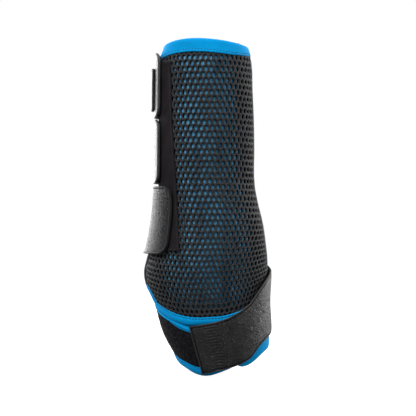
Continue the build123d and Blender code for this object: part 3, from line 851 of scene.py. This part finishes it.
def make_tab(name, bottom, top, end_y):
    """A closing tab: an embossed face crowned over its padding, a piped rim, stitches and a hook patch."""
    middle = (bottom + top) / 2
    height = top - bottom
    fold = ("inner_flap", name, TAB_FOLD)
    is_lower = name == "lower_tab"
    # The lower tab takes the darker, duller copies of the leatherette and piping: painted shade.
    leather, piping = (LOWER_TAB_SHADED_LEATHER, LOWER_SHADED_PIPING) if is_lower else (TAB_LEATHER, PIPING)
    slant = LOWER_TAB_SLANT if is_lower else 0.0

    def tab_place(inset):
        """A place function for the tab's outline with its rounded corners, drawn in by inset."""
        def place(P, Q):
            z_flat = bottom + height * Q
            root = SLEEVE.share_at_x(TAB_ROOT_X, z_flat, inner=True)
            end = 1 + SLEEVE.share_at_y(end_y - slant * (1 - Q), z_flat, 6.0) - inset / SLEEVE.girth(z_flat)
            left = (1 - P) * (end - root) * (SLEEVE.girth(z_flat) + TAB_GIRTH)
            cut = inset + corner_drop(TAB_CORNER - inset, left)
            return root + (end - root) * P, (bottom + cut) + (height - 2 * cut) * Q
        return place

    tab_girth = float(SLEEVE.girth(middle)) + TAB_GIRTH
    root = SLEEVE.share_at_x(TAB_ROOT_X, middle, inner=True)
    length = float((1 + SLEEVE.share_at_y(end_y, middle, 6.0) - root) * tab_girth)

    def face_relief(u, z, d):
        s = u * tab_girth
        cells = np.abs(np.sin(math.pi * (s + z) / 3.0)) * np.abs(np.sin(math.pi * (s - z) / 3.0))
        crown = 0.9 * np.clip(d / 9.0, 0, 1) ** 0.6
        return TAB_FACE_DEPTH[0] + crown + 0.14 * np.minimum(cells * 2.0, 1.0)

    p = stations(length, 0.62, edge=(0.0, 0.3, 0.7, 1.1))
    q = stations(height - 4, 0.62, edge=(0.0, 0.3, 0.7, 1.1))
    face = slab(f"{name}_embossed_face", SLEEVE, tab_place(1.9), p, q, face_relief, TAB_FACE_DEPTH[1],
                leather, edge=0.8, open_start=True)
    put(face, "embossed_leatherette", [f"{name}_face"], fold=fold)
    filling = slab(f"{name}_filling", SLEEVE, tab_place(2.2), stations(length, 2.5),
                   stations(height - 4, 2.5), *TAB_FILLING_DEPTH, PADDING, open_start=True)
    put(filling, "padding", [f"{name}_padding"], fold=fold)

    along = 1 - (1 - np.linspace(0, 1, 160)) ** 2.2
    P = np.concatenate([along, np.ones(60), along[::-1]])
    Q = np.concatenate([np.zeros(160), np.linspace(0, 1, 62)[1:-1], np.ones(160)])
    u, z, _ = resample(*tab_place(1.3)(P, Q), SLEEVE, 0.9)
    u, z = soften(u, 3), soften(z, 3)
    turn = np.arange(10) * 2 * math.pi / 10
    tube = [(0, 1.35 * math.cos(a), 4.85 + 1.75 * math.sin(a)) for a in turn]
    rim = sweep(f"{name}_piped_rim", SLEEVE, (u, z), 1, tube, piping)
    put(rim, "piping", [f"{name}_piping"], fold=fold)
    row = beside(SLEEVE, u, z, -1, 2.9)
    stitches = stitch_row(f"{name}_stitches", SLEEVE, [row], 5.75, BLACK_THREAD, pitch=2.6, length=1.8,
                          radius=0.24)
    put(stitches, "piping", fold=fold)
    hook_place = upright(bottom + 4, top - 4, lambda z: 0.998,
                         lambda z: 1 + SLEEVE.share_at_y(end_y + 4, z, 2.5))
    hook = slab(f"{name}_hook_patch_sewn", SLEEVE, hook_place, stations(18, 1.5),
                stations(height - 8, 2.5), *TAB_HOOK_DEPTH, HOOK, edge=0.4)
    put(hook, "hook_tape", [f"{name}_hook_patch"], body=name)


for tab in TABS:
    make_tab(*tab)


def make_badge():
    """A plain moulded badge: a raised rim round a shallow ribbed field."""
    low, high, left, right = BADGE_EDGES

    def place(P, Q):
        z = low + (high - low) * Q
        start = 1 - SLEEVE.share_at_y(-right, z, 7.5)
        end = 1 + SLEEVE.share_at_y(left, z, 7.5)
        u = start + (end - start) * P
        cut = corner_drop(BADGE_CORNER, np.minimum(P, 1 - P) * (right - left))
        return u, (low + cut) + (high - low - 2 * cut) * Q

    def relief(u, z, d):
        rim = np.clip((d - 2.0) / 0.5, 0, 1)
        field = np.clip((d - 3.2) / 0.6, 0, 1)
        ribs = 0.22 * np.sin(z * 2 * math.pi / 3.2) * field
        return 8.75 - 0.7 * rim + ribs

    badge = slab("tab_badge_moulded", SLEEVE, place, stations(right - left, 0.5, edge=(0, 0.25, 0.6)),
                 stations(high - low, 0.4, edge=(0, 0.25, 0.6)), relief, 6.3, RUBBER, edge=0.5, keep=0.6)
    put(badge, "badge", ["tab_badge"], body="upper_tab")


make_badge()


# ---------------------------------------------------------------- the pastern cup

CUP_REAR_END = 1 + float(CUP.share_at_x(CUP_SPLIT_X - 0.75, 25.0))
CUP_FRONT_END = float(CUP.share_at_x(CUP_SPLIT_X + 0.75, 40.0))
CUP_PARTS = (
    ("cup_rear", U_CUP_SPLIT, CUP_REAR_END, 1, False, {"fold": FLAP}),
    ("cup_front", U_CUP_SPLIT, CUP_FRONT_END, -1, True, {"body": "shell"}),
)
CUP_PROFILE = [
    (1, 0, 0.05), (1, 0.1, 0.5), (1, -0.5, 0.9), (1, -1.2, 0.68), (1, -1.9, 0.98), (0.5, 0, 1.3),
    (0, 2.2, 1.15), (0, 0.8, 0.85), (0, 0.0, 0.0), (0, -0.5, -1.6), (0, -0.6, -3.2), (0, -0.5, -4.8),
    (0, 0.0, -6.2), (0, 0.8, -6.9), (0, 2.2, -7.2), (1, -0.8, -7.1), (1, 0, -6.9), (1, 0, -6.2),
    (0, 1.4, -6.2), (0, 1.4, 0.05),
]


def cup_bulge(u, z):
    """The cup swells between its tapes."""
    low = cup_bottom_curve(CUP.flat(u, z)[0])
    return 1.1 * np.exp(-((z - low - 22) / 16) ** 2)


def make_cup_part(name, start, end, side, front, moves):
    """Cover, pad, lining and taped edge of one part of the cup."""
    low, high = (lambda u: cup_bottom(u, front)), (lambda u: cup_top(u, front))
    place = span(start, end - math.copysign(0.006, end - start),
                 shifted(low, UNDER_TAPE), shifted(high, -UNDER_TAPE))
    length = abs(end - start) * float(CUP.girth(45.0))

    def fuzz(u, z, d):
        s = u * 280
        tufts = np.sin(s * 2.9 + 3 * np.sin(z * 0.9)) * np.sin(z * 3.1 + 2 * np.sin(s * 0.7))
        return -0.05 + cup_bulge(u, z) * np.clip(d / 6, 0, 1) + 0.22 * tufts

    cover = slab(f"{name}_brushed_cover", CUP, place, stations(length, 1.3), stations(46, 1.3), fuzz, -1.5,
                 CUP_CLOTH, open_start=True)
    put(cover, "cup_cloth", [f"{name}_cover"], **moves)
    across, up = stations(length, 4.0), stations(46, 3.0)
    pad = slab(f"{name}_pad", CUP, place, across, up, *CUP_PAD_DEPTH, PADDING, open_start=True)
    put(pad, "padding", [f"{name}_padding"], **moves)
    lining = slab(f"{name}_inner_lining", CUP, place, across, up, *CUP_LINING_DEPTH, LINING,
                  open_start=True)
    put(lining, "lining", [f"{name}_lining"], **moves)
    lining_length = length * (1 - 2 * math.pi * 5.6 / float(CUP.girth(45.0)))  # 5.6 mm inside the form

    u, z, key = rim_path(CUP, start, end, low, high, rounds=8)
    if front:
        lower = np.interp(u, [0.5, 0.62], [CUP_FRONT_TAPE, CUP_TAPE])
    else:
        lower = CUP_TAPE
    upper = np.interp(u, [1.08, 1.13], [1.6, CUP_TOP_TAPE])  # tucked under the hem at the back
    widths = np.where(key < 1, upper + (CUP_TOP_TAPE - upper) * key,
                      CUP_TOP_TAPE + (lower - CUP_TOP_TAPE) * (key - 1))
    tape = sweep(f"{name}_edge_tape", CUP, (u, z), side, CUP_PROFILE, BLUE_TAPE, width=widths)
    put(tape, "binding", [f"{name}_binding"], **moves)
    row = beside(CUP, u, z, side, widths - 1.2)
    stitches = stitch_row(f"{name}_tape_stitches", CUP, [row], 0.8, BLUE_THREAD)
    put(stitches, "binding", **moves)


for part in CUP_PARTS:
    make_cup_part(*part)


def make_yokes():
    """The bands inside the hem that join the cup to the sleeve."""
    low, high = shifted(panel_hem, -9), shifted(panel_hem, 9)
    front_end = float(SLEEVE.share_at_x(CUP_SPLIT_X + 2, 60.0))
    for name, end, moves, length in (
        ("cup_rear", 1 - U_SLIT - 0.01, {"fold": FLAP}, 0.09),
        ("cup_front", front_end, {"body": "shell"}, 0.075),
    ):
        yoke = slab(f"{name}_yoke_band", SLEEVE, span(U_SPLIT, end, low, high), stations(100, 3),
                    stations(18, 2), -9.0, -9.7, LINING, edge=0.3, open_start=True)
        put(yoke, "lining", [f"{name}_yoke"], **moves)


make_yokes()


# ---------------------------------------------------------------- the sling strap

STRAP_BLEND = ("shell", "sling_strap", STRAP_FOLD)
U_ANCHOR = float(STRAP.share_at_x(STRAP_ANCHOR_X, 105.0, inner=True))
U_END_TOP = float(STRAP.share_at_x(STRAP_END[0][0], STRAP_END[0][1]))
U_END_LOW = float(STRAP.share_at_x(STRAP_END[1][0], STRAP_END[1][1]))


def strap_place(inset=0.0):
    """Places p from the sewn end to the slanting free end, and q across the strap."""
    def place(P, Q):
        girth = STRAP.girth(50.0)
        far = U_END_LOW + (U_END_TOP - U_END_LOW) * Q + inset / girth
        u = U_ANCHOR + (far - U_ANCHOR) * P
        straight = U_ANCHOR + (U_END_LOW - U_ANCHOR) * P
        u = straight + (u - straight) * P ** 3
        low, high = strap_edge(u, 0) + inset, strap_edge(u, 1) - inset
        return u, low + (high - low) * Q
    return place


def strap_wave(u, z):
    """Slight waves along the strap, with a crease and a buckle beside the hook patch."""
    fold = np.exp(-((u - 0.306 + (z - 30) * 0.0006) / 0.005) ** 2)
    buckle = np.exp(-((u - 0.285 + (z - 22) * 0.0010) / 0.004) ** 2) * np.exp(-((z - 20) / 14) ** 2)
    return -0.8 * fold + 0.6 * buckle + 0.25 * np.sin(u * 46) * np.sin(z / 9.0)


def on_wave(depth):
    """A depth function that follows the strap's waves."""
    return lambda u, z, from_edge: depth + strap_wave(u, z)


def strap_relief(u, z, d):
    """The face's outside: crowned a little, and pressed in along the stitching."""
    groove = np.exp(-((d - STRAP_SEAM) / 0.6) ** 2)
    wrinkles = 0.32 * np.sin(z * 2.2 + 1.5 * np.sin(u * 90)) * np.exp(-((u - 0.25) / 0.03) ** 2)
    return 3.1 + 0.25 * np.clip(d / 6, 0, 1) + strap_wave(u, z) - 0.7 * groove + wrinkles


def make_strap():
    """The sling strap: grained face, soft backing, hook patch, dark strips of painted shadow in the
    stitching grooves, and stitches.
    """
    p, q = stations(STRAP_LENGTH, 1.0), stations(STRAP_WIDTH, 0.4)
    face = slab("strap_grained_face", STRAP, strap_place(), p, q, strap_relief,
                on_wave(1.9), LEATHER, edge=0.9, keep=0.3)
    face.data.materials.append(CUT_EDGE)
    face.data.materials.append(LEATHER_RIM_HIGHLIGHT)
    kinds = np.zeros(len(face.data.polygons), dtype=np.int32)
    outside = (len(p) - 1) * (len(q) - 1)
    kinds[2 * outside:] = 1  # the cut edge all round, after the two sides
    # The band along the face's edge takes the lighter leatherette: a painted highlight.
    kinds[:outside] = np.where(FROM_EDGE[face.name][1:, 1:] < STRAP_HIGHLIGHT_RIM, 2, 0).ravel()
    face.data.polygons.foreach_set("material_index", kinds)
    put(face, "leatherette", ["strap_face", "strap_anchor"], fold=STRAP_BLEND)
    backing = slab("strap_soft_backing", STRAP, strap_place(0.4), stations(STRAP_LENGTH, 3.0),
                   stations(STRAP_WIDTH, 2.5), on_wave(1.85), on_wave(0.9), PADDING, edge=0.4)
    put(backing, "padding", ["strap_backing"], fold=STRAP_BLEND)

    def hook_place(P, Q):
        return strap_place(4.0)(1 - (1 - STRAP_HOOK_START) * (1 - P), Q)

    hook = slab("strap_hook_patch_sewn", STRAP, hook_place, stations(33, 1.5), stations(42, 2.0), 0.85, 0.1,
                HOOK, edge=0.3)
    put(hook, "hook_tape", ["strap_hook_patch"], body="sling_strap")

    along, across = np.linspace(0, 1, 200), np.linspace(0, 1, 60)
    place = strap_place(STRAP_SEAM)
    rows = [
        place(along, np.zeros(200)), place(along, np.ones(200)), place(np.ones(200), along),
        strap_place(4.4)(np.full(60, 0.999), across),
        place(np.full(60, STRAP_HOOK_START + 0.005), across),
        place(np.full(60, STRAP_ROOT_SEAM), across),
    ]
    # Dark strips laid in the grooves along the stitching: painted shadow.
    seam_shadow_profile = [(0, -0.6, 2.6), (0, -0.45, 2.95), (0, 0.45, 2.95), (0, 0.6, 2.6)]
    for number, (u, z) in enumerate(rows):
        u, z, _ = resample(u, z, STRAP, 1.5)
        seam = sweep(f"strap_seam_shadow_{number}", STRAP, (u, z), 1, seam_shadow_profile, SEAM_SHADOW, lift=strap_wave)
        put(seam, "leatherette", fold=STRAP_BLEND)
    stitches = stitch_row("strap_stitches", STRAP, rows, 3.0, BLACK_THREAD, pitch=2.7, lift=strap_wave,
                          length=1.9, radius=0.25)
    put(stitches, "leatherette", fold=STRAP_BLEND)


make_strap()


# ---------------------------------------------------------------- stage, light and camera

def seen_and_lit(tree, seen, lit, output):
    """One shader for what the camera sees directly, and another for the light that the object gets."""
    ray = node(tree, "ShaderNodeLightPath").outputs["Is Camera Ray"]
    mix = node(tree, "ShaderNodeMixShader", ray, lit.outputs[0], seen.outputs[0])
    tree.links.new(mix.outputs[0], tree.nodes[output].inputs["Surface"])


def make_stage():
    material = bpy.data.materials.new("pale_floor")
    material.use_nodes = True
    tree = material.node_tree
    white = settings(
        tree.nodes["Principled BSDF"], Base_Color=(0.4, 0.4, 0.4, 1), Roughness=0.9,
        Specular_IOR_Level=0.0, Emission_Color=(1, 1, 1, 1), Emission_Strength=0.9,
    )
    grey = node(tree, "ShaderNodeBsdfDiffuse", Color=(0.25, 0.25, 0.25, 1))
    seen_and_lit(tree, white, grey, "Material Output")
    size, height = 40.0, CAD_BOX[0][2] - 0.001
    mesh = bpy.data.meshes.new("floor")
    corners = [(-size, -size, height), (size, -size, height), (size, size, height), (-size, size, height)]
    mesh.from_pydata(corners, [], [(0, 1, 2, 3)])
    mesh.materials.append(material)
    floor = bpy.data.objects.new("floor", mesh)
    bpy.context.scene.collection.objects.link(floor)

    world = bpy.data.worlds.new("studio")
    world.use_nodes = True
    bpy.context.scene.world = world
    tree = world.node_tree
    seen = settings(tree.nodes["Background"], Color=(1, 1, 1, 1), Strength=1.0)
    lit = node(tree, "ShaderNodeBackground", Color=(0.97, 0.98, 1, 1), Strength=0.3)
    seen_and_lit(tree, seen, lit, "World Output")

    target = Vector((0, 0, 0.165))
    for name, place, watts, width, tall in (
        # the two at the left put the sheen on the tabs, and the one at the right on the strap
        ("backdrop", (0.0, 1.1, 0.4), 14, 2.0, 1.4),
        ("left_back", (-0.67, 0.49, 0.3), 12, 0.46, 0.9),
        ("left_behind", (-0.38, 0.80, 0.3), 4, 0.4, 0.9),
        ("right_back", (0.75, 0.40, 0.3), 12, 0.5, 1.0),
        ("key", (-0.6, -0.9, 1.1), 17, 0.5, 0.5),
        ("fill", (0.9, -0.8, 0.6), 4, 0.5, 0.5),
        ("top", (0.0, -0.2, 1.3), 10, 0.8, 0.8),
    ):
        lamp = bpy.data.lights.new(name, "AREA")
        lamp.shape, lamp.size, lamp.size_y, lamp.energy = "RECTANGLE", width, tall, watts
        light = bpy.data.objects.new(name, lamp)
        light.location = place
        light.rotation_euler = (target - Vector(place)).to_track_quat("-Z", "Y").to_euler()
        bpy.context.scene.collection.objects.link(light)


def make_camera():
    distance, picture = 1.2, 0.416
    camera = bpy.data.cameras.new("camera")
    camera.sensor_width = 36
    camera.lens = 36 * distance / picture
    obj = bpy.data.objects.new("camera", camera)
    obj.location = (0.001, -distance, 0.1636)
    obj.rotation_euler = (math.pi / 2, 0, 0)
    bpy.context.scene.collection.objects.link(obj)
    bpy.context.scene.camera = obj


make_stage()
make_camera()
bpy.context.scene.view_settings.view_transform = "Standard"
